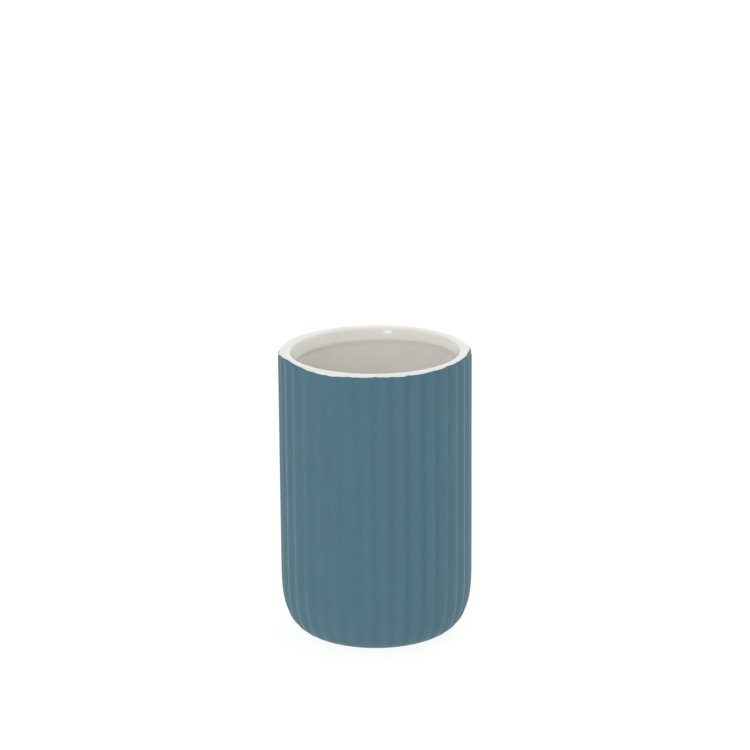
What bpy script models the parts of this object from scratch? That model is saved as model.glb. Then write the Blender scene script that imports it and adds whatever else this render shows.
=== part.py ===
# A straight-sided ceramic cup for toothbrushes, with upright ribs all round and a rounded foot.
# Lengths are in metres. The cup stands on z = 0, its axis is Z, and its front faces -Y.
import math
from collections import namedtuple

import bmesh
import bpy

MM = 0.001

# Whole cup
HEIGHT = 109.9 * MM             # surface it stands on to the top of the rim
CREST_RADIUS = 36.1 * MM        # axis to the crest of a rib, on the finished coat
WALL_THICKNESS = 5.5 * MM       # finished coat to finished glaze, also through the floor

# Upright ribs side by side, in section a soft wave all round
RIBS = 36
RIB_DEPTH = 0.65 * MM           # crest to valley
RIB_TURN = math.radians(-90)    # a valley faces the front
RIB_POINT_SHARES = (0.0, 0.3, 0.5, 0.7)   # points across one rib, as shares of its width from a valley
FADE_START = math.radians(38)   # on the foot's corner, the ribs start to flatten here
FADE_END = math.radians(82)     # and are gone here
RIM_FADE_END = math.radians(60) # on the rim's outer edge they flatten from its foot to here

# Rim and inner lip
LIP_STAND = 0.3 * MM            # narrowest place of the lip inside the finished wall
LIP_DEPTH = 4.2 * MM            # top of the rim to this narrowest place
LIP_BEVEL = math.radians(40)    # how far the face above it leans from upright
LIP_SLANT = math.radians(10)    # and the face under it
RIM_EDGE_RADIUS = 1.3 * MM      # rounding of the bare rim's outer edge
LIP_EDGE_RADIUS = 1.5 * MM      # rounding of the bare rim's inner edge
LIP_NOSE_RADIUS = 4.3 * MM      # rounding of the bare lip at its narrowest place
LIP_ROOT_RADIUS = 2.4 * MM      # finished hollow where the lip meets the wall

# Foot
FLAT_FOOT_RADIUS = 17.0 * MM    # where the foot's corner has become level
CORNER_RISE = 29.0 * MM         # height of the foot's corner
CORNER_POWER = 3.34             # 2 is an ellipse, more is squarer
RING_SPREAD = 6.0 * MM          # foot ring's outer wall, outside the level part
RING_WIDTH = 4.5 * MM
RING_DROP = 0.4 * MM            # ring below the coat's lowest point
RING_EDGE = 0.4 * MM            # bevel of both ring edges
RECESS_DEPTH = 1.5 * MM         # up from the ring's standing face

# Layers and pad
LAYER_GAP = 0.3 * MM            # kept between the bare ceramic and what lies on it
COAT_THICKNESS = 0.35 * MM
GLAZE_THICKNESS = 0.4 * MM
COAT_RING_MARGIN = 0.8 * MM     # coat's lower edge to the foot ring
PAINT_LINE = math.radians(39)   # how far the coat climbs round the rim's edge
PAD_PROUD = 0.4 * MM            # pad below the foot ring
PAD_CLEARANCE = 0.8 * MM        # pad's rim to the recess wall
PAD_EDGE = 0.3 * MM             # bevel of the pad

# Facets
RATIO = 3                       # ribbed ring's points for each point of a plain ring
CORNER_STEPS = 6
RIBBED_TURN = math.radians(45)  # about what a rounded ribbed edge turns from one ring to the next
PLAIN_TURN = math.radians(30)   # and a rounded plain edge, whose rings have fewer points
PLAIN_SIDES = RIBS * len(RIB_POINT_SHARES) // RATIO

# Places that follow
COAT_LIFT = LAYER_GAP + COAT_THICKNESS        # bare ceramic to the finished coat
GLAZE_LIFT = LAYER_GAP + GLAZE_THICKNESS      # bare ceramic to the finished glaze
BARE_RADIUS = CREST_RADIUS - COAT_LIFT
BARE_TOP = HEIGHT - GLAZE_LIFT
BARE_WALL_RADIUS = CREST_RADIUS - WALL_THICKNESS + GLAZE_LIFT
BARE_LIP_RADIUS = BARE_WALL_RADIUS - LIP_STAND
LIP_LEVEL = HEIGHT - LIP_DEPTH
RING_LEVEL = PAD_PROUD                        # standing face of the foot ring
COAT_LEVEL = RING_LEVEL + RING_DROP           # lowest point of the finished coat
RING_RADIUS = FLAT_FOOT_RADIUS + RING_SPREAD
RECESS_RADIUS = RING_RADIUS - RING_WIDTH
RECESS_LEVEL = RING_LEVEL + RECESS_DEPTH

# A place on the cup's upright section: radius and height, outward normal, and the way that a valley
# sinks it
Place = namedtuple("Place", "r z nr nz fr fz")


def lifted(place, distance):
    return place._replace(r=place.r + place.nr * distance, z=place.z + place.nz * distance)


def plain(r, z, nr=0.0, nz=0.0):
    return Place(r, z, nr, nz, 0.0, 0.0)


def blend(share):
    share = min(max(share, 0.0), 1.0)
    return share * share * (3.0 - 2.0 * share)


def arc(centre_r, centre_z, radius, start, end, turn=PLAIN_TURN, hollow=False):
    # A rounded edge; its normals point away from the centre, or toward it in a hollow
    places = []
    steps = max(1, round(abs(end - start) / turn))
    for step in range(steps + 1):
        angle = start + (end - start) * step / steps
        nr = math.cos(angle)
        nz = math.sin(angle)
        side = -1.0 if hollow else 1.0
        places.append(plain(centre_r + radius * nr, centre_z + radius * nz, side * nr, side * nz))
    return places


def corner_place(angle, depth):
    # The foot's corner is a quarter of a superellipse on the finished coat, from upright (0) to level
    # (90 degrees). The place lies this deep under it, square to it.
    run = CREST_RADIUS - FLAT_FOOT_RADIUS
    across = math.cos(angle) ** (2.0 / CORNER_POWER)
    down = math.sin(angle) ** (2.0 / CORNER_POWER)
    nr = across ** (CORNER_POWER - 1.0) / run
    nz = -(down ** (CORNER_POWER - 1.0)) / CORNER_RISE
    length = math.hypot(nr, nz)
    nr = nr / length
    nz = nz / length
    depth_share = 1.0 - blend((angle - FADE_START) / (FADE_END - FADE_START))
    return Place(
        FLAT_FOOT_RADIUS + run * across - nr * depth,
        COAT_LEVEL + CORNER_RISE * (1.0 - down) - nz * depth,
        nr,
        nz,
        nr * depth_share,
        nz * depth_share,
    )


def corner_angle(radius):
    # The corner's angle at which the finished coat has this radius
    share = (radius - FLAT_FOOT_RADIUS) / (CREST_RADIUS - FLAT_FOOT_RADIUS)
    return math.acos(share ** (CORNER_POWER / 2.0))


def corner(depth, end_angle):
    return [corner_place(end_angle * step / CORNER_STEPS, depth) for step in range(CORNER_STEPS + 1)]


def rim_edge(start, end):
    # The bare rim's outer edge, from the wall (0) to the top (90 degrees). The ribs flatten on it.
    centre_r = BARE_RADIUS - RIM_EDGE_RADIUS
    centre_z = BARE_TOP - RIM_EDGE_RADIUS
    places = arc(centre_r, centre_z, RIM_EDGE_RADIUS, start, end, turn=RIBBED_TURN)
    return [place._replace(fr=1.0 - blend(math.atan2(place.nz, place.nr) / RIM_FADE_END)) for place in places]


def inside():
    # The bare inside from the top of the rim to the edge of the level floor: the rim's inner edge, the bevel
    # under it, the lip's nose, the hollow below, the wall and the corner of the floor
    right = math.pi / 2.0
    inward = 2.0 * right
    edge_z = BARE_TOP - LIP_EDGE_RADIUS
    nose_r = BARE_LIP_RADIUS + LIP_NOSE_RADIUS
    # The bevel touches both the edge's rounding and the nose
    bevel_rise = (edge_z - LIP_LEVEL) * math.sin(LIP_BEVEL) + LIP_EDGE_RADIUS - LIP_NOSE_RADIUS
    edge_r = nose_r + bevel_rise / math.cos(LIP_BEVEL)
    # The lip's underside touches both the nose and the hollow
    root_radius = LIP_ROOT_RADIUS + GLAZE_LIFT
    spared = (LIP_NOSE_RADIUS + root_radius) * (1.0 - math.cos(LIP_SLANT))
    root_z = LIP_LEVEL - (spared + LIP_STAND * math.cos(LIP_SLANT)) / math.sin(LIP_SLANT)
    places = arc(edge_r, edge_z, LIP_EDGE_RADIUS, right, inward - LIP_BEVEL)
    places += arc(nose_r, LIP_LEVEL, LIP_NOSE_RADIUS, inward - LIP_BEVEL, inward + LIP_SLANT)
    places += arc(BARE_WALL_RADIUS - root_radius, root_z, root_radius, LIP_SLANT, 0.0, hollow=True)
    turned = corner(WALL_THICKNESS - GLAZE_LIFT, right)
    return places + [plain(place.r, place.z, -place.nr, -place.nz) for place in turned]


def add_ring(mesh, place, ribbed):
    # A ribbed ring sinks by half the rib's depth times 1 + cosine, most in a valley and not at all on a crest
    ring = []
    if not ribbed:
        for side in range(PLAIN_SIDES):
            angle = RIB_TURN + math.tau * side / PLAIN_SIDES
            ring.append(mesh.verts.new((place.r * math.cos(angle), place.r * math.sin(angle), place.z)))
        return ring
    for rib in range(RIBS):
        for share in RIB_POINT_SHARES:
            angle = RIB_TURN + math.tau * (rib + share) / RIBS
            sink = RIB_DEPTH * (1.0 + math.cos(math.tau * share)) / 2.0
            r = place.r - place.fr * sink
            ring.append(mesh.verts.new((r * math.cos(angle), r * math.sin(angle), place.z - place.fz * sink)))
    return ring


def join_rings(mesh, first, second):
    if len(first) < len(second):
        first, second = second, first
    count = len(second)
    step = len(first) // count
    for side in range(count):
        a = side * step
        following = (side + 1) % count
        for part in range(step - 1):
            mesh.faces.new((first[a + part], first[a + part + 1], second[side]))
        last = first[a + step - 1]
        mesh.faces.new((last, first[(a + step) % len(first)], second[following], second[side]))


def close_with_pole(mesh, ring):
    pole = mesh.verts.new((0.0, 0.0, ring[0].co.z))
    for side in range(len(ring)):
        mesh.faces.new((ring[side], ring[(side + 1) % len(ring)], pole))


def turned_piece(name, sections, endless, material):
    # sections: (place, whether its ring is ribbed), in order round the piece's upright section
    mesh = bmesh.new()
    rings = [add_ring(mesh, place, ribbed) for place, ribbed in sections]
    for first, second in zip(rings, rings[1:]):
        join_rings(mesh, first, second)
    if endless:
        join_rings(mesh, rings[-1], rings[0])
    else:
        close_with_pole(mesh, rings[0])
        close_with_pole(mesh, rings[-1])
    bmesh.ops.recalc_face_normals(mesh, faces=mesh.faces[:])
    data = bpy.data.meshes.new(name)
    mesh.to_mesh(data)
    mesh.free()
    data.shade_smooth()
    data.set_sharp_from_angle(angle=math.radians(30))
    data.materials.append(material)
    piece = bpy.data.objects.new(name, data)
    bpy.context.scene.collection.objects.link(piece)
    return piece


def ceramic_body(material):
    # Floor, wall, lip and rim on the inside, then down the ribbed outside to the foot ring and its recess
    ring_angle = corner_angle(RING_RADIUS)
    outside = corner(COAT_LIFT, ring_angle)
    ring_root = outside[-1]
    rim = rim_edge(0.0, PAINT_LINE) + rim_edge(PAINT_LINE, math.pi / 2.0)[1:]
    sections = [(place, False) for place in reversed(inside())]
    sections += [(place, True) for place in reversed(rim)]
    sections += [(place, True) for place in outside]
    sections += [
        (plain(ring_root.r, RING_LEVEL + RING_EDGE), False),
        (plain(ring_root.r - RING_EDGE, RING_LEVEL), False),
        (plain(RECESS_RADIUS + RING_EDGE, RING_LEVEL), False),
        (plain(RECESS_RADIUS, RING_LEVEL + RING_EDGE), False),
        (plain(RECESS_RADIUS, RECESS_LEVEL), False),
    ]
    return turned_piece("ceramic_body", sections, False, material)


def white_glaze(material):
    # A lining on the inside floor, wall and lip, over the rim and down its edge to the coat
    edge_radius = RIM_EDGE_RADIUS + GLAZE_LIFT
    start = PAINT_LINE + LAYER_GAP / edge_radius
    over_rim = list(reversed(rim_edge(start, math.pi / 2.0)))
    lining = list(reversed(inside()))
    sections = [(lifted(place, GLAZE_LIFT), False) for place in lining]
    sections += [(lifted(place, GLAZE_LIFT), True) for place in over_rim]
    sections += [(lifted(place, LAYER_GAP), True) for place in reversed(over_rim)]
    sections += [(lifted(place, LAYER_GAP), False) for place in reversed(lining)]
    return turned_piece("white_glaze", sections, False, material)


def blue_coat(material):
    # A skin from the rim's edge down the ribbed wall and round the foot, to just outside the foot ring
    end_angle = corner_angle(RING_RADIUS + COAT_RING_MARGIN)
    skin = list(reversed(rim_edge(0.0, PAINT_LINE))) + corner(COAT_LIFT, end_angle)
    sections = [(lifted(place, COAT_LIFT), True) for place in skin]
    sections += [(lifted(place, LAYER_GAP), True) for place in reversed(skin)]
    return turned_piece("blue_coat", sections, True, material)


def non_slip_pad(material):
    # A bevelled disc in the recess, standing a little proud of the foot ring
    radius = RECESS_RADIUS - PAD_CLEARANCE
    top = RECESS_LEVEL - LAYER_GAP
    sections = [
        (plain(radius, top), False),
        (plain(radius, PAD_EDGE), False),
        (plain(radius - PAD_EDGE, 0.0), False),
    ]
    return turned_piece("non_slip_pad", sections, False, material)


def finish(name, colour, roughness):
    material = bpy.data.materials.new(name)
    material.use_nodes = True
    shader = material.node_tree.nodes["Principled BSDF"]
    shader.inputs["Base Color"].default_value = (*colour, 1.0)
    shader.inputs["Roughness"].default_value = roughness
    shader.inputs["Metallic"].default_value = 0.0
    return material


def main():
    for old in list(bpy.data.objects):
        bpy.data.objects.remove(old, do_unlink=True)
    ceramic_body(finish("bare_ceramic", (0.62, 0.58, 0.51), 0.85))
    white_glaze(finish("gloss_glaze", (0.80, 0.78, 0.74), 0.12))
    blue_coat(finish("matte_coat", (0.084, 0.184, 0.235), 0.62))
    non_slip_pad(finish("soft_pad", (0.45, 0.45, 0.44), 0.9))


main()
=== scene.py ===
# A ceramic cup for toothbrushes. Soft upright ribs run round its matte blue-grey coat, and a white gloss glaze
# covers the inside and the rim. Lengths are in metres, Z is up the cup's axis, and its front faces -Y.
import math
from collections import namedtuple

import bpy
import numpy as np
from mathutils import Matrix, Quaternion, Vector


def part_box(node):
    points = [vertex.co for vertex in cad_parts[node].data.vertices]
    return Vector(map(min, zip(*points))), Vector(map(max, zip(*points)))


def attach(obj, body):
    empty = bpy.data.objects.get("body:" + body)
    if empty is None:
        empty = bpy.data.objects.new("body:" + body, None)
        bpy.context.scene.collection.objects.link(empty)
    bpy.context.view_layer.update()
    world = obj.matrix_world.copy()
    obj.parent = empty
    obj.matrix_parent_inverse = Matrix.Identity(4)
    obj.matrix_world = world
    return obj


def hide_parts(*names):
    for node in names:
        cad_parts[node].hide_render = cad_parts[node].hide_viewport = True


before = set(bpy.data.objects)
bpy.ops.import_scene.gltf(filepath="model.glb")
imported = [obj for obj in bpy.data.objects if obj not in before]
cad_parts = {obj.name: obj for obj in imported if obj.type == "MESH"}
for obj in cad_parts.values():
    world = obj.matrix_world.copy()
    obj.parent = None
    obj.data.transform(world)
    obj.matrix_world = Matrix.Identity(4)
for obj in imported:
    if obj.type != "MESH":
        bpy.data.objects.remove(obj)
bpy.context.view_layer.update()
mm = 0.001
quarter = math.pi / 2

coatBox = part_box("blue_coat")
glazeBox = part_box("white_glaze")
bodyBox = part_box("ceramic_body")
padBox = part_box("non_slip_pad")
coatPoints = np.array([point.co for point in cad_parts["blue_coat"].data.vertices])

cup = {
    "height": glazeBox[1].z,
    "crest": np.hypot(coatPoints[:, 0], coatPoints[:, 1]).max() - 0.02 * mm,  # a hair inside the solids
    "wall": 5.5 * mm,                       # finished coat to finished glaze, through the floor as well
    "ribs": 36,
    "ribDepth": 0.65 * mm,
    "ribTurn": math.radians(-90),           # a valley faces the front
    "fadeStart": math.radians(29),          # on the foot's corner the ribs start to flatten here
    "fadeEnd": math.radians(69),            # and are gone here
    "rimFade": math.radians(60),            # on the rim's outer edge they flatten from its foot to here
    "toCoat": 0.65 * mm,                    # bare ceramic of the frame to the finished coat
    "toGlaze": 0.70 * mm,                   # and to the finished glaze on the rim and inside
    "toSkin": 0.50 * mm,                    # and to the hidden side of either layer
    "toBody": 0.48 * mm,                    # and to the ceramic shown here, which the layers lie close on
    "rimEdge": 1.3 * mm,                    # rounding of the bare rim's outer edge
    "unevenDepth": 0.07 * mm,               # how far the cast wall wanders in
    "unevenWaves": 7,
    "unevenRound": 8,                       # a wave runs up to this often round the cup
    "unevenUp": 24 * mm,                    # and its half is at least this high
    "hiddenFine": 0.34,                     # the inside's hidden sides get this share of its rows
    "seed": 7,
}
corner = {
    "flat": 17.0 * mm,                      # radius where the foot's corner has become level
    "rise": 29.0 * mm,
    "power": 3.34,                          # 2 is an ellipse, more is squarer
    "level": bodyBox[0].z + 0.4 * mm,       # lowest point of the finished coat
}
lip = {
    "stand": 0.25 * mm,                     # narrowest place of the lip inside the finished wall
    "depth": 4.7 * mm,                      # top of the rim to this narrowest place
    "sway": 0.9 * mm,                       # how much deeper it lies at the left, and less deep at the right
    "swayReach": 2.6 * mm,                  # up and down from there, the sway has faded at twice this
    "crown": 7.0 * mm,                      # rounding of the bare rim's top
    "crownTurn": math.radians(13.5),        # how far it turns from level to the inner edge
    "bevelTop": math.radians(21),           # below the edge, how far the face leans from upright
    "bevelLow": math.radians(14),           # and above the narrowest place
    "slant": math.radians(8),               # and under it, the other way
    "edge": 0.6 * mm,                       # rounding of the bare rim's inner edge
    "nose": 1.5 * mm,                       # rounding of the bare lip at its narrowest place
    "root": 2.4 * mm,                       # finished hollow where the lip meets the wall
}
ring = {
    "outer": corner["flat"] + 6.0 * mm,
    "inner": corner["flat"] + 1.5 * mm,
    "level": bodyBox[0].z,
    "edge": 0.45 * mm,
    "fillet": 0.35 * mm,
    "recess": bodyBox[0].z + 1.5 * mm,
}
bareRadius = cup["crest"] - cup["toCoat"]
bareTop = cup["height"] - cup["toGlaze"]
bareWall = cup["crest"] - cup["wall"] + cup["toGlaze"]
bareLip = bareWall - lip["stand"]
cornerTop = corner["level"] + corner["rise"]

# A stretch of the cup's upright section, in rows: radius, height, outward normal, and the way in which a valley
# between two ribs sinks each place
Stretch = namedtuple("Stretch", "r z outR outZ dipR dipZ")


def smooth(share):
    # 3 s squared - 2 s cubed, with s held between 0 and 1
    share = np.clip(share, 0.0, 1.0)
    return share * share * (3.0 - 2.0 * share)


def rowsFrom(start, end, rows):
    return np.linspace(start, end, rows)[:, None]


def between(first, last, rows, out, ribbed=(0.0, 0.0)):
    # rows strictly between two places: first + t (last - first)
    t = rowsFrom(0.0, 1.0, rows + 2)[1:-1]
    flat = np.zeros_like(t)
    dip = ribbed[0] + t * (ribbed[1] - ribbed[0])
    r = first[0] + t * (last[0] - first[0])
    z = first[1] + t * (last[1] - first[1])
    return Stretch(r, z, flat + out[0], flat + out[1], dip, flat)


def roundEdge(centreR, centreZ, radius, angles, ribbed=0.0, side=1.0):
    # centre + radius (cos a, sin a); the normal is side (cos a, sin a), and a valley sinks the place level
    across = np.cos(angles)
    up = np.sin(angles)
    flat = np.zeros_like(across)
    return Stretch(centreR + radius * across, centreZ + radius * up, side * across, side * up, flat + ribbed, flat)


def footCorner(angles, depth):
    # r = flat + run cos(a)^(2/p), z = level + rise (1 - sin(a)^(2/p)), then in by depth along the normal, whose
    # parts go as cos(a)^(2 - 2/p) / run and -sin(a)^(2 - 2/p) / rise. Valleys sink along the normal and fade.
    run = cup["crest"] - corner["flat"]
    power = corner["power"]
    across = np.clip(np.cos(angles), 0.0, 1.0) ** (2.0 / power)
    down = np.sin(angles) ** (2.0 / power)
    outR = across ** (power - 1.0) / run
    outZ = -(down ** (power - 1.0)) / corner["rise"]
    length = np.hypot(outR, outZ)
    outR = outR / length
    outZ = outZ / length
    ribbed = 1.0 - smooth((angles - cup["fadeStart"]) / (cup["fadeEnd"] - cup["fadeStart"]))
    r = corner["flat"] + run * across - outR * depth
    z = corner["level"] + corner["rise"] * (1.0 - down) - outZ * depth
    return Stretch(r, z, outR, outZ, outR * ribbed, outZ * ribbed)


def cornerAngle(radius):
    # the angle at which the finished coat has this radius: cos(a) = share^(p/2)
    share = (radius - corner["flat"]) / (cup["crest"] - corner["flat"])
    return math.acos(share ** (corner["power"] / 2.0))


def evenAngles(end, rows, depth):
    # the corner's angles are read back from its length, so that the rows lie equally far apart
    angles = rowsFrom(0.0, end, 1500)
    dense = footCorner(angles, depth)
    steps = np.hypot(np.diff(dense.r[:, 0]), np.diff(dense.z[:, 0]))
    length = np.concatenate(([0.0], np.cumsum(steps)))
    return np.interp(np.linspace(0.0, length[-1], rows), length, angles[:, 0])[:, None]


def backward(stretch):
    return Stretch(*[part[::-1] for part in stretch])


def rimArc(angles):
    # the bare rim's outer edge, from the wall (0) to the top (a quarter turn); the ribs flatten on it
    edge = cup["rimEdge"]
    ribbed = 1.0 - smooth(angles / cup["rimFade"])
    return roundEdge(bareRadius - edge, bareTop - edge, edge, angles, ribbed)


# Where the lip's roundings have their centres. Each touches the next: the crown of the rim's top, the edge, the
# slightly bulged bevel, the nose and, past the straight underside, the hollow.
crownZ = bareTop - lip["crown"]
edgeZ = crownZ + (lip["crown"] - lip["edge"]) * math.cos(lip["crownTurn"])
noseR = bareLip + lip["nose"]
noseZ = cup["height"] - lip["depth"]
bevelRadius = (edgeZ - noseZ - lip["nose"] * math.sin(lip["bevelLow"]) + lip["edge"] * math.sin(lip["bevelTop"])) / (
    math.sin(lip["bevelTop"]) - math.sin(lip["bevelLow"])
)
bevelR = noseR + (bevelRadius - lip["nose"]) * math.cos(lip["bevelLow"])
bevelZ = noseZ - (bevelRadius - lip["nose"]) * math.sin(lip["bevelLow"])
edgeR = bevelR - (bevelRadius - lip["edge"]) * math.cos(lip["bevelTop"])
crownR = edgeR + (lip["crown"] - lip["edge"]) * math.sin(lip["crownTurn"])
hollowRadius = lip["root"] + cup["toGlaze"]
hollowR = bareWall - hollowRadius
spared = (lip["nose"] + hollowRadius) * (1.0 - math.cos(lip["slant"]))
hollowZ = noseZ - (spared + lip["stand"] * math.cos(lip["slant"])) / math.sin(lip["slant"])


# How many rows each stretch of the inside has
insideRows = {
    "crown": 9,
    "edge": 12,
    "bevel": 12,
    "nose": 12,
    "under": 3,
    "hollow": 8,
    "wall": 22,
    "floor": 36,
}


def inside(fine):
    # the bare inside from the top of the rim to the edge of the level floor: the rim's crown and inner edge, the
    # bevel under them, the lip's nose and underside, the hollow below, the wall and the floor's corner. fine
    # scales the count of rows.
    rows = {stretch: int(count * fine) for stretch, count in insideRows.items()}
    crownEnd = quarter + lip["crownTurn"]
    top = 2 * quarter - lip["bevelTop"]
    low = 2 * quarter - lip["bevelLow"]
    under = 2 * quarter + lip["slant"]
    depth = cup["wall"] - cup["toGlaze"]
    floor = footCorner(evenAngles(quarter, rows["floor"], depth), depth)
    flat = floor.r * 0.0
    nose = roundEdge(noseR, noseZ, lip["nose"], rowsFrom(low, under, rows["nose"]))
    hollow = roundEdge(hollowR, hollowZ, hollowRadius, rowsFrom(lip["slant"], 0.0, rows["hollow"]), side=-1.0)
    noseEnd = (float(nose.r[-1, 0]), float(nose.z[-1, 0]))
    hollowStart = (float(hollow.r[0, 0]), float(hollow.z[0, 0]))
    return [
        roundEdge(crownR, crownZ, lip["crown"], rowsFrom(quarter, crownEnd, rows["crown"])),
        roundEdge(edgeR, edgeZ, lip["edge"], rowsFrom(crownEnd, top, rows["edge"])[1:]),
        roundEdge(bevelR, bevelZ, bevelRadius, rowsFrom(top, low, rows["bevel"])[1:-1]),
        nose,
        between(noseEnd, hollowStart, rows["under"], (-math.cos(lip["slant"]), -math.sin(lip["slant"]))),
        hollow,
        between((bareWall, hollowZ), (bareWall, cornerTop), rows["wall"], (-1.0, 0.0)),
        floor._replace(outR=-floor.outR, outZ=-floor.outZ, dipR=flat, dipZ=flat),
    ]


def turns(columns):
    return cup["ribTurn"] + 2.0 * math.pi * np.arange(columns)[None, :] / columns


def ribDip(turn):
    # depth (1 + cos p) / 2, where p runs from 0 in a valley to pi on a crest
    phase = cup["ribs"] * (turn - cup["ribTurn"])
    return cup["ribDepth"] * ((1.0 + np.cos(phase)) / 2.0)


def unevenness(turn, height):
    # the mean of a few slow sine waves round and up the wall, each from 0 to 1, times the depth
    chance = np.random.default_rng(cup["seed"])
    total = 0.0
    for wave in range(cup["unevenWaves"]):
        around = int(chance.integers(1, cup["unevenRound"] + 1))
        upward = chance.uniform(-1.0, 1.0) * math.pi / cup["unevenUp"]
        start = chance.uniform(0.0, 2.0 * math.pi)
        total = total + 0.5 + 0.5 * np.sin(around * turn + upward * height + start)
    return cup["unevenDepth"] * total / cup["unevenWaves"]


def lipSway(turn, height):
    # the lip's nose lies deeper at the left: sway (-cos t) times a bell curve exp(-(away / reach)^2), where away
    # is the height over the nose
    away = (height - noseZ) / lip["swayReach"]
    return -lip["sway"] * np.cos(turn) * np.exp(-(away**2))


def sweep(parts, columns):
    # each place moves out by its lift and in by the rib's dip, wanders with the uneven wall and the swaying lip,
    # and goes round as (r cos t, r sin t, z)
    turn = turns(columns)
    dip = ribDip(turn)
    grids = []
    for stretch, lift in parts:
        r = stretch.r + stretch.outR * lift - stretch.dipR * dip
        z = stretch.z + stretch.outZ * lift - stretch.dipZ * dip
        r = r - unevenness(turn, z) * r / cup["crest"]
        z = z - np.clip(-stretch.outR, 0.0, 1.0) * lipSway(turn, z)
        grids.append(np.stack(np.broadcast_arrays(r * np.cos(turn), r * np.sin(turn), z), axis=-1))
    return np.concatenate(grids)


def lengthDown(grid):
    # the distance from the first row, measured along each column
    steps = np.linalg.norm(np.diff(grid, axis=0), axis=-1)
    return np.concatenate((np.zeros((1, grid.shape[1])), np.cumsum(steps, axis=0)))


def surface(name, grid, poles, attributes=None):
    # A sheet of rows x columns, closed round its columns. With poles its first and last rows close on the axis;
    # without, its last row joins the first.
    rows, columns = grid.shape[:2]
    points = grid.reshape(-1, 3)
    number = np.arange(rows * columns).reshape(rows, columns)
    if not poles:
        number = np.concatenate((number, number[:1]))
    upper = number[:-1]
    lower = number[1:]
    quads = np.stack((upper, lower, np.roll(lower, -1, axis=1), np.roll(upper, -1, axis=1)), axis=-1)
    faces = quads.reshape(-1, 4).tolist()
    if poles:
        ends = np.array(((0.0, 0.0, grid[0, :, 2].mean()), (0.0, 0.0, grid[-1, :, 2].mean())))
        start = rows * columns
        first = number[0]
        last = number[-1]
        opening = np.stack((np.full(columns, start), first, np.roll(first, -1)), axis=-1)
        closing = np.stack((last, np.full(columns, start + 1), np.roll(last, -1)), axis=-1)
        points = np.concatenate((points, ends))
        faces += opening.tolist() + closing.tolist()
    mesh = bpy.data.meshes.new(name)
    mesh.from_pydata(points.tolist(), [], faces)
    for label, values in (attributes or {}).items():
        values = np.broadcast_to(values, (rows, columns)).ravel()
        if poles:
            values = np.concatenate((values, values[:1], values[-1:]))
        mesh.attributes.new(label, "FLOAT", "POINT").data.foreach_set("value", values.astype(np.float32))
    mesh.shade_smooth()
    mesh.update()
    piece = bpy.data.objects.new(name, mesh)
    bpy.context.scene.collection.objects.link(piece)
    print(f"{name}: {len(faces)} faces")
    return piece


def settle(piece, node, material):
    piece.data.materials.append(material)
    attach(piece, "root")
    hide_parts(node)


class Wire:
    # a value on its way through a material; sums on it add Math nodes
    def __init__(self, finish, socket):
        self.finish = finish
        self.socket = socket

    def __add__(self, other):
        return self.finish.maths("ADD", self, other)

    def __radd__(self, other):
        return self.finish.maths("ADD", other, self)

    def __rsub__(self, other):
        return self.finish.maths("SUBTRACT", other, self)

    def __mul__(self, other):
        return self.finish.maths("MULTIPLY", self, other)

    def __rmul__(self, other):
        return self.finish.maths("MULTIPLY", other, self)


class Finish:
    # one node tree
    def __init__(self, owner):
        owner.use_nodes = True
        self.owner = owner
        self.tree = owner.node_tree

    def feed(self, socket, value):
        if isinstance(value, Wire):
            self.tree.links.new(value.socket, socket)
        else:
            socket.default_value = value

    def node(self, kind, settings, values, output=0):
        made = self.tree.nodes.new("ShaderNode" + kind)
        for name, value in settings.items():
            setattr(made, name, value)
        for name, value in values.items():
            self.feed(made.inputs[name], value)
        return Wire(self, made.outputs[output])

    def maths(self, operation, first, second):
        return self.node("Math", {"operation": operation}, {0: first, 1: second})

    def point(self):
        return self.node("TexCoord", {}, {}, "Object")

    def attribute(self, label):
        return self.node("Attribute", {"attribute_name": label}, {}, "Fac")

    def stretched(self, point, scale):
        return self.node("VectorMath", {"operation": "MULTIPLY"}, {0: point, 1: scale})

    def noise(self, point, perMetre, detail=2.0):
        return self.node("TexNoise", {}, {"Vector": point, "Scale": perMetre, "Detail": detail})

    def eased(self, value, low, high):
        # 0 at low, 1 at high, and eased between them
        values = {"Value": value, "From Min": low, "From Max": high}
        return self.node("MapRange", {"interpolation_type": "SMOOTHSTEP"}, values)

    def mixed(self, share, first, second):
        return self.node("Mix", {"data_type": "RGBA"}, {0: share, 6: first, 7: second}, 2)

    def bump(self, height, distance, under=None):
        values = {"Height": height, "Distance": distance}
        if under:
            values["Normal"] = under
        return self.node("Bump", {}, values)

    def principled(self, **sockets):
        shader = self.tree.nodes["Principled BSDF"]
        for name, value in sockets.items():
            self.feed(shader.inputs[name.replace("_", " ")], value)
        return self.owner


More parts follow.
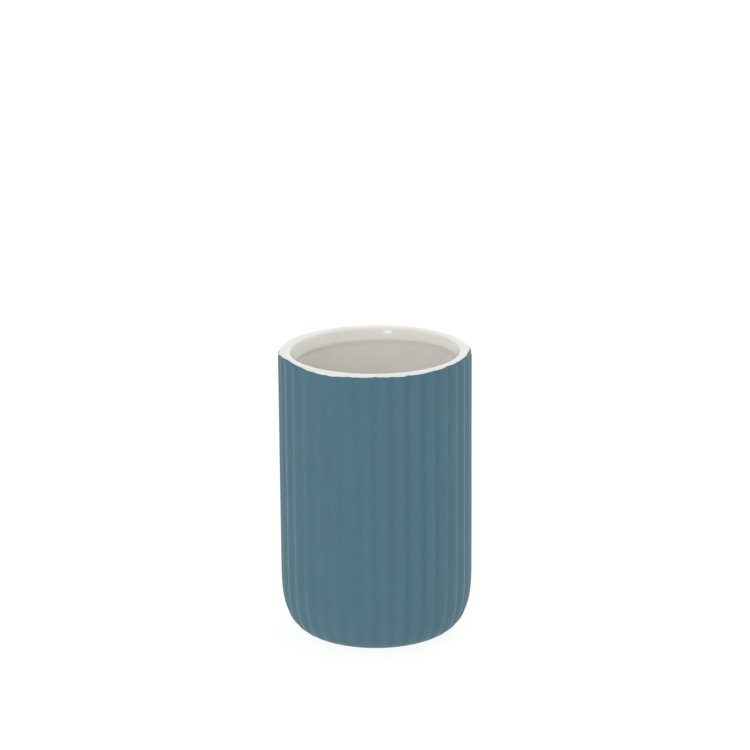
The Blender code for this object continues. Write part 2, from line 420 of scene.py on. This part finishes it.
# The matte blue-grey coat
coat = {
    "columns": 720,
    "line": math.radians(39),               # how far the coat climbs round the rim's edge
    "overGlaze": 0.05 * mm,                 # its thickness over the glaze at the line
    "tuck": 0.02 * mm,                      # its very edge lies this far under the glaze
    "bead": 0.30 * mm,                      # its edge rounds over in this distance
    "beadRows": (0.0, 0.05, 0.12, 0.22, 0.36, 0.55, 0.78, 1.0),  # shares of this distance
    "edgeRows": 8,
    "wallRows": 30,
    "waver": math.radians(3.25),            # how far the line strays up and down
    "waves": (9, 13, 17, 23, 31, 45, 58, 72, 96, 120, 150),
    "thinEnd": math.radians(15),            # up to here on the rim's edge the glaze under it is thinnest
    "thinTurn": math.radians(45),           # and it thickens over this much more
    "hiddenGap": 0.01 * mm,                 # its hidden side lies this much closer to the ceramic than the glaze's
    "hiddenBack": 0.04,                     # and ends this many radians below the line
    "footMargin": 0.8 * mm,                 # its lower edge to the foot ring
    "footRows": 48,
    "footThinRows": 3,                      # it thins to the hidden side in the last of them
    "footStray": 0.06,                      # its lower edge strays by this share of the line's straying
    "footStrayPower": 12,                   # more keeps the straying closer to the edge
    "blue": (0.056, 0.147, 0.195, 1.0),
    "slate": (0.061, 0.156, 0.206, 1.0),
    "clouds": 90.0,                         # noise per metre that mixes the two
    "cloudEnds": (0.35, 0.65),              # all the first colour below, all the second above
    "streaks": (420.0, 420.0, 34.0),        # noise per metre of the faint upright streaks
    "streakEnds": (0.45, 0.75),
    "streakShare": 0.4,
    # darker blue, for the faint streaks and for the painted shade in the rib valleys
    "streakAndValleyShade": (0.047, 0.129, 0.171, 1.0),
    "shadeTop": 0.7,                         # painted shade in the valleys, up to this share of a rib's height
    "shadeShift": math.radians(1.0),         # and shifted toward the rib at the left of each, onto its shaded flank
    "shadeLeft": 0.6,                        # and not at all left of this share of the radius
    "thin": (0.085, 0.182, 0.226, 1.0),
    "thinReach": 0.5,                       # millimetres below the line where it is thin
    "thinShare": 0.5,
    "rough": 0.56,
    "roughClouds": 0.08,
    "roughGrain": 0.06,
    "grain": 2600.0,                        # noise per metre of the fine bumps
    "pimples": 700.0,                       # and of the wider ones
    "bump": 0.02 * mm,
    "sheen": 0.12,
    "sheenRough": 0.3,
}
# Where the line leaves its height: degrees round from the front, how wide in degrees, and degrees up the rim's
# edge. First the long sweeps, of which the last is the back, then the small nicks.
linePlaces = (
    (-78, 7, 6.5), (-68, 3, 4.5), (-64, 12, 31), (-51, 6, 11), (-29, 10, -11), (-3, 4, 4.5), (16, 3, -4),
    (40, 14, 9), (52, 7, 11), (66, 13, 29), (81.5, 7.5, 24), (98, 12, 18), (180, 60, -14),
    (-63, 1.4, 2.4), (-50, 1.4, 4.2), (-38.5, 1.4, 4.2), (-30, 1.4, 2.4), (-16, 1.4, 4.2), (-3.7, 1.4, 2.4),
    (0.1, 1.4, 6), (4.8, 1.4, 3.6), (10, 1.4, 2.4), (20, 1.4, 4.8), (36.7, 1.4, 4.2), (48.5, 1.4, 4.8),
    (59.5, 1.4, 3),
)


def glazeLift(angles):
    # under the coat the glaze is thinner, and its lift eases from one thickness to the other round the edge
    thin = cup["toCoat"] - coat["overGlaze"]
    return thin + (cup["toGlaze"] - thin) * smooth((angles - coat["thinEnd"]) / coat["thinTurn"])


def paintLine(turn):
    # a sum of sine waves, waver / sqrt(n) sin(n t + start), and at each place a bell curve,
    # up exp(-(away / wide)^2)
    chance = np.random.default_rng(cup["seed"] + 1)
    line = np.full(turn.shape, coat["line"])
    for waves in coat["waves"]:
        start = chance.uniform(0.0, 2.0 * math.pi)
        line = line + coat["waver"] / math.sqrt(waves) * np.sin(waves * turn + start)
    for place, wide, up in linePlaces:
        away = (turn - math.radians(place - 90.0) + math.pi) % (2.0 * math.pi) - math.pi
        line = line + math.radians(up) * np.exp(-((away / math.radians(wide)) ** 2))
    return line


def coatPiece(material):
    columns = coat["columns"]
    turn = turns(columns)
    arcRadius = cup["rimEdge"] + cup["toCoat"]
    away = np.array(coat["beadRows"])[:, None]
    beadAngles = paintLine(turn) - away * coat["bead"] / arcRadius
    # the edge rises like a quarter of a circle to the coat's full thickness
    grown = np.sqrt(1.0 - (1.0 - away) ** 2)
    beadLift = glazeLift(beadAngles) - coat["tuck"] + (coat["overGlaze"] + coat["tuck"]) * grown
    edgeAngles = beadAngles[-1:] * rowsFrom(1.0, 0.0, coat["edgeRows"])[1:]
    edgeLift = glazeLift(edgeAngles) + coat["overGlaze"]
    wallTop = bareTop - cup["rimEdge"]
    wall = between((bareRadius, wallTop), (bareRadius, cornerTop), coat["wallRows"], (1.0, 0.0), (1.0, 1.0))
    rows = coat["footRows"]
    footAngles = evenAngles(cornerAngle(ring["outer"] + coat["footMargin"]), rows, cup["toCoat"])
    # the lower edge strays a little, and thins to the hidden side in its last rows
    stray = coat["footStray"] * (paintLine(turn + 1.0) - coat["line"])
    footAngles = footAngles + stray * (footAngles / footAngles.max()) ** coat["footStrayPower"]
    thinned = smooth((np.arange(rows) - rows + coat["footThinRows"]) / (coat["footThinRows"] - 1.0))
    footLift = cup["toCoat"] - (cup["toCoat"] - cup["toSkin"]) * thinned[:, None]
    hidden = cup["toSkin"] - coat["hiddenGap"]
    parts = [
        (rimArc(beadAngles), beadLift),
        (rimArc(edgeAngles), edgeLift),
        (wall, cup["toCoat"]),
        (footCorner(footAngles, cup["toCoat"]), footLift),
        (footCorner(footAngles[::-4], cup["toCoat"]), hidden),
        (backward(Stretch(*[part[::6] for part in wall])), hidden),
        (rimArc(edgeAngles[::-2]), hidden),
        (rimArc(beadAngles[:1] - coat["hiddenBack"]), hidden),
    ]
    grid = sweep(parts, columns)
    # painted shade in the rib valleys, stronger toward the right, away from the light: its share eases in over (cos
    # t + left) / (2 - left)
    crest = 1.0 - ribDip(turn + coat["shadeShift"]) / cup["ribDepth"]
    rightward = smooth((np.cos(turn) + coat["shadeLeft"]) / (2.0 - coat["shadeLeft"]))
    streakAndValleyShade = (1.0 - smooth(crest / coat["shadeTop"])) * rightward
    piece = surface("blueCoat", grid, False, {"streakAndValleyShade": streakAndValleyShade, "fromLine": lengthDown(grid) / mm})
    settle(piece, "blue_coat", material)


def coatFinish():
    made = Finish(bpy.data.materials.new("matteCoat"))
    point = made.point()
    streakAndValleyShade = made.attribute("streakAndValleyShade")
    fromLine = made.attribute("fromLine")
    cloud = made.noise(point, coat["clouds"], 3.0)
    streak = made.noise(made.stretched(point, coat["streaks"]), 1.0)
    grain = made.noise(point, coat["grain"], 3.0)
    colour = made.mixed(made.eased(cloud, *coat["cloudEnds"]), coat["blue"], coat["slate"])
    colour = made.mixed(made.eased(streak, *coat["streakEnds"]) * coat["streakShare"], colour, coat["streakAndValleyShade"])
    # painted shade in the rib valleys
    colour = made.mixed(streakAndValleyShade, colour, coat["streakAndValleyShade"])
    nearLine = made.eased(fromLine, coat["thinReach"], 0.1 * coat["thinReach"])
    colour = made.mixed(nearLine * coat["thinShare"], colour, coat["thin"])
    rough = coat["rough"] + coat["roughClouds"] * cloud + coat["roughGrain"] * grain
    pimples = made.bump(made.noise(point, coat["pimples"]), coat["bump"])
    return made.principled(
        Base_Color=colour,
        Roughness=rough,
        Normal=made.bump(grain, coat["bump"], pimples),
        Sheen_Weight=coat["sheen"],
        Sheen_Roughness=coat["sheenRough"],
    )


# The white gloss glaze
glaze = {
    "columns": 540,
    "start": math.radians(10),              # under the coat it ends here on the rim's edge
    "white": (0.840, 0.823, 0.786, 1.0),
    "warm": (0.810, 0.786, 0.738, 1.0),
    "clouds": 60.0,                         # noise per metre that mixes the two
    "cloudEnds": (0.3, 0.7),
    "rough": 0.07,
    "roughMore": 0.05,
    "smears": 240.0,                        # noise per metre of the duller patches
    "ripples": 130.0,                       # and of the bumps
    "bump": 0.05 * mm,
}


def glazePiece(material):
    floorZ = corner["level"] + cup["wall"] - cup["toGlaze"]
    rimTop = ((bareRadius - cup["rimEdge"], bareTop), (crownR, bareTop))
    edgeAngles = rowsFrom(quarter, glaze["start"], 14)
    parts = [(between((0.0, floorZ), (corner["flat"], floorZ), 6, (0.0, 1.0)), cup["toGlaze"])]
    parts += [(backward(stretch), cup["toGlaze"]) for stretch in reversed(inside(1.0))]
    parts += [
        (between(rimTop[1], rimTop[0], 1, (0.0, 1.0)), cup["toGlaze"]),
        (rimArc(edgeAngles), glazeLift(edgeAngles)),
        (rimArc(edgeAngles[::-3]), cup["toSkin"]),
        (between(rimTop[0], rimTop[1], 1, (0.0, 1.0)), cup["toSkin"]),
    ]
    parts += [(stretch, cup["toSkin"]) for stretch in inside(cup["hiddenFine"])]
    piece = surface("whiteGlaze", sweep(parts, glaze["columns"]), True)
    settle(piece, "white_glaze", material)


def glazeFinish():
    made = Finish(bpy.data.materials.new("glossGlaze"))
    point = made.point()
    cloud = made.noise(point, glaze["clouds"])
    colour = made.mixed(made.eased(cloud, *glaze["cloudEnds"]), glaze["white"], glaze["warm"])
    rough = glaze["rough"] + glaze["roughMore"] * made.noise(point, glaze["smears"])
    bump = made.bump(made.noise(point, glaze["ripples"], 1.0), glaze["bump"])
    return made.principled(Base_Color=colour, Roughness=rough, Normal=bump)


# The bare fired ceramic
ceramic = {
    "columns": 360,
    "clay": (0.62, 0.57, 0.49, 1.0),
    "dark": (0.50, 0.45, 0.38, 1.0),
    "specks": 1500.0,                       # noise per metre of the dark specks
    "speckEnds": (0.62, 0.72),
    "rough": 0.8,
    "roughMore": 0.1,
    "patches": 500.0,                       # of the duller patches
    "grain": 3200.0,                        # and of the bumps
    "bump": 0.03 * mm,
}


def bodyPiece(material):
    depth = cup["wall"] - cup["toGlaze"]
    floorZ = corner["level"] + depth
    body = cup["toBody"]
    foot = footCorner(evenAngles(cornerAngle(ring["outer"]), 24, cup["toCoat"]), cup["toCoat"])
    wallTop = bareTop - cup["rimEdge"]
    # the foot ring's two rounded edges, and the fillet between it and the recess
    edge = ring["edge"]
    roundZ = ring["level"] + edge
    outerR = float(foot.r[-1, 0] + foot.outR[-1, 0] * body) - edge
    innerR = ring["inner"] + edge
    filletR = ring["inner"] - ring["fillet"]
    filletZ = ring["recess"] - ring["fillet"]
    parts = [(between((0.0, floorZ), (corner["flat"], floorZ), 2, (0.0, 1.0)), body)]
    parts += [(backward(stretch), body) for stretch in reversed(inside(cup["hiddenFine"]))]
    parts += [
        (rimArc(rowsFrom(quarter, 0.0, 5)), body),
        (between((bareRadius, wallTop), (bareRadius, cornerTop), 8, (1.0, 0.0), (1.0, 1.0)), body),
        (foot, body),
        (roundEdge(outerR, roundZ, edge, rowsFrom(0.0, -quarter, 7)), 0.0),
        (between((outerR, ring["level"]), (innerR, ring["level"]), 3, (0.0, -1.0)), 0.0),
        (roundEdge(innerR, roundZ, edge, rowsFrom(-quarter, -2 * quarter, 7)), 0.0),
        (roundEdge(filletR, filletZ, ring["fillet"], rowsFrom(0.0, quarter, 5)), 0.0),
        (between((filletR, ring["recess"]), (0.0, ring["recess"]), 3, (0.0, -1.0)), 0.0),
    ]
    piece = surface("ceramicBody", sweep(parts, ceramic["columns"]), True)
    settle(piece, "ceramic_body", material)


def ceramicFinish():
    made = Finish(bpy.data.materials.new("bareCeramic"))
    point = made.point()
    speck = made.eased(made.noise(point, ceramic["specks"]), *ceramic["speckEnds"])
    colour = made.mixed(speck, ceramic["clay"], ceramic["dark"])
    rough = ceramic["rough"] + ceramic["roughMore"] * made.noise(point, ceramic["patches"])
    bump = made.bump(made.noise(point, ceramic["grain"], 3.0), ceramic["bump"])
    return made.principled(Base_Color=colour, Roughness=rough, Normal=bump)


# The soft pad under the foot
pad = {
    "columns": 180,
    "radius": padBox[1].x,
    "top": padBox[1].z,
    "edge": 0.35 * mm,
    "grey": (0.45, 0.45, 0.44, 1.0),
    # darker grey for the pores: painted shade in these small hollows
    "pore": (0.30, 0.30, 0.29, 1.0),
    "pores": 2400.0,                        # noise per metre of the pores
    "poreEnds": (0.55, 0.7),
    "poreDepth": 0.05 * mm,
    "rough": 0.85,
    "roughMore": 0.1,
    "patches": 800.0,                       # of the duller patches
}


def padPiece(material):
    edge = pad["edge"]
    radius = pad["radius"]
    top = pad["top"]
    parts = [
        (between((0.0, top), (radius - edge, top), 2, (0.0, 1.0)), 0.0),
        (roundEdge(radius - edge, top - edge, edge, rowsFrom(quarter, 0.0, 5)), 0.0),
        (roundEdge(radius - edge, edge, edge, rowsFrom(0.0, -quarter, 6)), 0.0),
        (between((radius - edge, 0.0), (0.0, 0.0), 8, (0.0, -1.0)), 0.0),
    ]
    piece = surface("nonSlipPad", sweep(parts, pad["columns"]), True)
    settle(piece, "non_slip_pad", material)


def padFinish():
    made = Finish(bpy.data.materials.new("softPad"))
    point = made.point()
    pore = made.eased(made.noise(point, pad["pores"]), *pad["poreEnds"])
    # painted shade: the pores, which the bump sinks, are darker
    colour = made.mixed(pore, pad["grey"], pad["pore"])
    rough = pad["rough"] + pad["roughMore"] * made.noise(point, pad["patches"])
    return made.principled(Base_Color=colour, Roughness=rough, Normal=made.bump(pore, -pad["poreDepth"]))


coatPiece(coatFinish())
glazePiece(glazeFinish())
bodyPiece(ceramicFinish())
padPiece(padFinish())
print("pieces done")

# Camera, floor, world and lamps
studio = {
    "from": (0.0, -1.08, 0.4109),
    "aim": (0.0, 0.0, 0.05492),             # the cup's middle
    "tiltUp": math.atan(115.0 / 3021),      # it shows 115 pixels low in the picture, at a lens of 3021 pixels
    "roll": math.radians(-0.45),
    "lens": 145.0,
    "sensor": 36.0,
    "floorReach": 4.0,
    "floorExtra": 1.0,                      # and this much more to the right
    "floorDrop": 0.05 * mm,                 # under the pad, so that the two don't share a plane
    "floorWhite": (0.86, 0.86, 0.86, 1.0),
    "floorRough": 0.9,
    "glowWhite": (1.0, 1.0, 1.0, 1.0),      # colour of the floor's glow and of the world
    "floorGlow": 1.03,                      # light that the floor gives the cup
    "floorShade": 0.25,                     # and the share that it lacks under the cup
    "shadeFrom": 0.02,                      # this starts to fade here, out from the middle
    "shadeTo": 0.05,                        # and is gone here
    "floorSeen": 1.07,                      # glow that the camera sees
    "floorPlainShare": 0.15,                # and the share of plain floor, which shows the shadow
    "worldSoft": 0.775,                     # light of the world on matte surfaces; seen or mirrored, it is 1
    "softWidth": 0.9,                       # both soft lamps
    "softDistance": 1.4,
    "keyAzimuth": math.radians(-20),
    "keyRise": math.radians(38),
    "keyWatts": 2.5,
    "backAzimuth": math.radians(140),
    "backRise": math.radians(35),
    "backWatts": 5.0,
    "glintWay": (-0.2900, -0.8405, 0.4720),  # the small lamp that shows as a spot on the back of the lip
    "glintDistance": 0.894,
    "glintWidth": 0.16,
    "glintHeight": 0.10,
    "glintWatts": 0.27,
}
cameraData = bpy.data.cameras.new("photoCamera")
cameraData.lens = studio["lens"]
cameraData.sensor_width = studio["sensor"]
camera = bpy.data.objects.new("photoCamera", cameraData)
bpy.context.scene.collection.objects.link(camera)
aim = (Vector(studio["aim"]) - Vector(studio["from"])).to_track_quat("-Z", "Y")
aim = aim @ Quaternion((1.0, 0.0, 0.0), studio["tiltUp"]) @ Quaternion((0.0, 0.0, 1.0), studio["roll"])
camera.location = studio["from"]
camera.rotation_mode = "QUATERNION"
camera.rotation_quaternion = aim
bpy.context.scene.camera = camera
bpy.context.scene.view_settings.view_transform = "Standard"

# The floor reaches further to the right, so that its diagonal doesn't run under the cup
reach = studio["floorReach"]
far = reach + studio["floorExtra"]
low = -studio["floorDrop"]
floorMesh = bpy.data.meshes.new("floor")
floorCorners = [(-reach, -reach, low), (far, -reach, low), (far, reach, low), (-reach, reach, low)]
floorMesh.from_pydata(floorCorners, [], [(0, 1, 2, 3)])
floor = bpy.data.objects.new("floor", floorMesh)
bpy.context.scene.collection.objects.link(floor)
floorFinish = Finish(bpy.data.materials.new("paleFloor"))
floorFinish.principled(Base_Color=studio["floorWhite"], Roughness=studio["floorRough"], Specular_IOR_Level=0.0)
seen = floorFinish.node("LightPath", {}, {}, "Is Camera Ray")
# the glow is weaker under the cup, which shades the floor there
fromCup = floorFinish.node("VectorMath", {"operation": "LENGTH"}, {0: floorFinish.point()}, "Value")
unshaded = floorFinish.eased(fromCup, studio["shadeFrom"], studio["shadeTo"])
lit = 1.0 - studio["floorShade"] + unshaded * studio["floorShade"]
strength = lit * studio["floorGlow"] * (1.0 - seen) + seen * studio["floorSeen"]
glow = floorFinish.node("Emission", {}, {"Color": studio["glowWhite"], "Strength": strength})
plain = Wire(floorFinish, floorFinish.tree.nodes["Principled BSDF"].outputs[0])
mix = floorFinish.node("MixShader", {}, {0: 1.0 - seen * studio["floorPlainShare"], 1: plain, 2: glow})
# from below the floor is clear, so that the foot can be looked at
below = floorFinish.node("NewGeometry", {}, {}, "Backfacing")
clear = floorFinish.node("BsdfTransparent", {}, {})
mix = floorFinish.node("MixShader", {}, {0: below, 1: mix, 2: clear})
floorFinish.feed(floorFinish.tree.nodes["Material Output"].inputs["Surface"], mix)
floor.data.materials.append(floorFinish.owner)

world = bpy.data.worlds.new("studioWhite")
bpy.context.scene.world = world
sky = Finish(world)
diffuse = sky.node("LightPath", {}, {}, "Is Diffuse Ray")
strength = 1.0 - diffuse * (1.0 - studio["worldSoft"])
background = sky.tree.nodes["Background"]
sky.feed(background.inputs["Color"], studio["glowWhite"])
sky.feed(background.inputs["Strength"], strength)


def lamp(name, direction, distance, size, watts, inMirror):
    data = bpy.data.lights.new(name, "AREA")
    data.shape = "RECTANGLE"
    data.size, data.size_y = size
    data.energy = watts
    made = bpy.data.objects.new(name, data)
    bpy.context.scene.collection.objects.link(made)
    way = Vector(direction).normalized()
    made.location = Vector((0.0, 0.0, cup["height"] / 2)) + way * distance
    made.rotation_mode = "QUATERNION"
    made.rotation_quaternion = way.to_track_quat("Z", "Y")
    made.visible_glossy = inMirror


def wayTo(azimuth, rise):
    # azimuth 0 is toward the front, and to the right is more
    return (math.sin(azimuth) * math.cos(rise), -math.cos(azimuth) * math.cos(rise), math.sin(rise))


softSize = (studio["softWidth"], studio["softWidth"])
keyWay = wayTo(studio["keyAzimuth"], studio["keyRise"])
backWay = wayTo(studio["backAzimuth"], studio["backRise"])
glintSize = (studio["glintWidth"], studio["glintHeight"])
lamp("softKey", keyWay, studio["softDistance"], softSize, studio["keyWatts"], False)
lamp("softBack", backWay, studio["softDistance"], softSize, studio["backWatts"], False)
lamp("glintLamp", studio["glintWay"], studio["glintDistance"], glintSize, studio["glintWatts"], True)
print("studio done")
